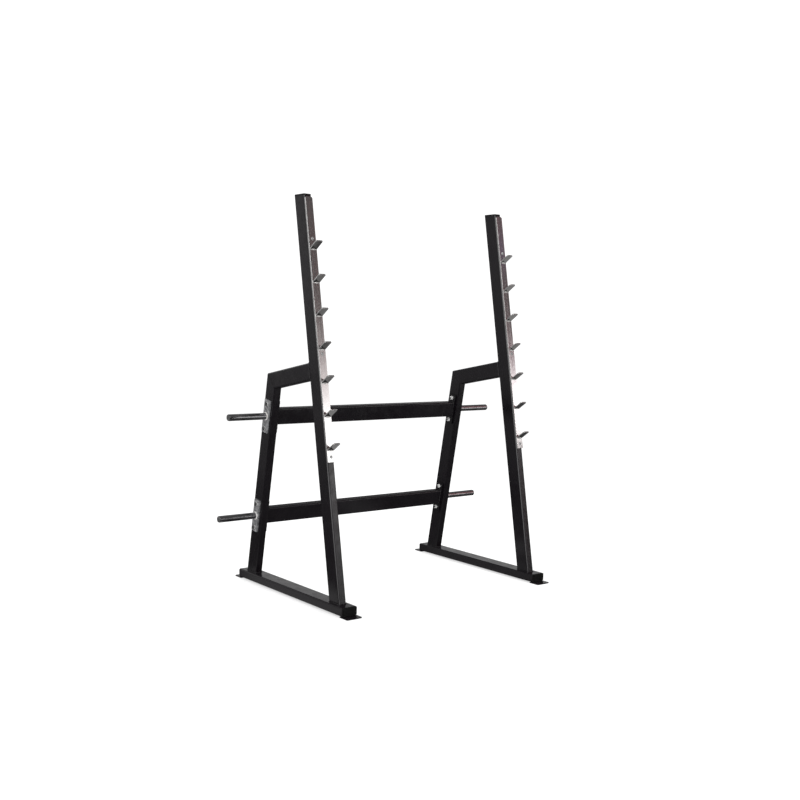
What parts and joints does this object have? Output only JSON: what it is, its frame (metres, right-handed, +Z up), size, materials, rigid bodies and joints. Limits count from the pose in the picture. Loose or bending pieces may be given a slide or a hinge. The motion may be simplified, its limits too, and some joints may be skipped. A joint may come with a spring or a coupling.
{
  "type": "squat rack",
  "caption": "Free-standing squat rack with leaning side frames, fixed bar hooks up the front uprights and weight plate storage pegs on the rear uprights.",
  "frame": {"origin": "on the floor, in the middle of the footprint", "axes": "+X from the left side frame to the right one, -Y towards the hook side where the lifter steps in, +Z up"},
  "size_m": [1.6226, 0.982, 1.85],
  "materials": {
    "black_powder_coat": "satin black powder coat",
    "brushed_steel": "brushed stainless steel",
    "polished_steel": "plated steel, polished on the peg and dull on its plate",
    "zinc_fastener": "bright zinc plate",
    "black_plastic": "moulded, fine grain"
  },
  "bodies": {
    "root": {"base_tube_left": "black_powder_coat", "base_cap_front_left": "black_plastic", "foot_plate_front_left": "black_powder_coat", "base_cap_rear_left": "black_plastic", "foot_plate_rear_left": "black_powder_coat", "front_upright_left": "black_powder_coat", "upright_cap_left": "black_plastic", "rear_upright_left": "black_powder_coat", "link_tube_left": "black_powder_coat", "hook_rail_left": "brushed_steel", "rail_screw_top_left": "zinc_fastener", "rail_screw_middle_left": "zinc_fastener", "rail_screw_bottom_left": "zinc_fastener", "hook_1_left": "brushed_steel", "hook_2_left": "brushed_steel", "hook_3_left": "brushed_steel", "hook_4_left": "brushed_steel", "hook_5_left": "brushed_steel", "hook_6_left": "brushed_steel", "hook_7_left": "brushed_steel", "weight_peg_lower_left": "polished_steel", "peg_cap_lower_left": "black_plastic", "bolt_lower_top_left": "zinc_fastener", "bolt_lower_bottom_left": "zinc_fastener", "weight_peg_upper_left": "polished_steel", "peg_cap_upper_left": "black_plastic", "bolt_upper_top_left": "zinc_fastener", "bolt_upper_bottom_left": "zinc_fastener", "base_tube_right": "black_powder_coat", "base_cap_front_right": "black_plastic", "foot_plate_front_right": "black_powder_coat", "base_cap_rear_right": "black_plastic", "foot_plate_rear_right": "black_powder_coat", "front_upright_right": "black_powder_coat", "upright_cap_right": "black_plastic", "rear_upright_right": "black_powder_coat", "link_tube_right": "black_powder_coat", "hook_rail_right": "brushed_steel", "rail_screw_top_right": "zinc_fastener", "rail_screw_middle_right": "zinc_fastener", "rail_screw_bottom_right": "zinc_fastener", "hook_1_right": "brushed_steel", "hook_2_right": "brushed_steel", "hook_3_right": "brushed_steel", "hook_4_right": "brushed_steel", "hook_5_right": "brushed_steel", "hook_6_right": "brushed_steel", "hook_7_right": "brushed_steel", "weight_peg_lower_right": "polished_steel", "peg_cap_lower_right": "black_plastic", "bolt_lower_top_right": "zinc_fastener", "bolt_lower_bottom_right": "zinc_fastener", "weight_peg_upper_right": "polished_steel", "peg_cap_upper_right": "black_plastic", "bolt_upper_top_right": "zinc_fastener", "bolt_upper_bottom_right": "zinc_fastener", "crossbeam_lower": "black_powder_coat", "crossbeam_upper": "black_powder_coat"}
  },
  "joints": []
}
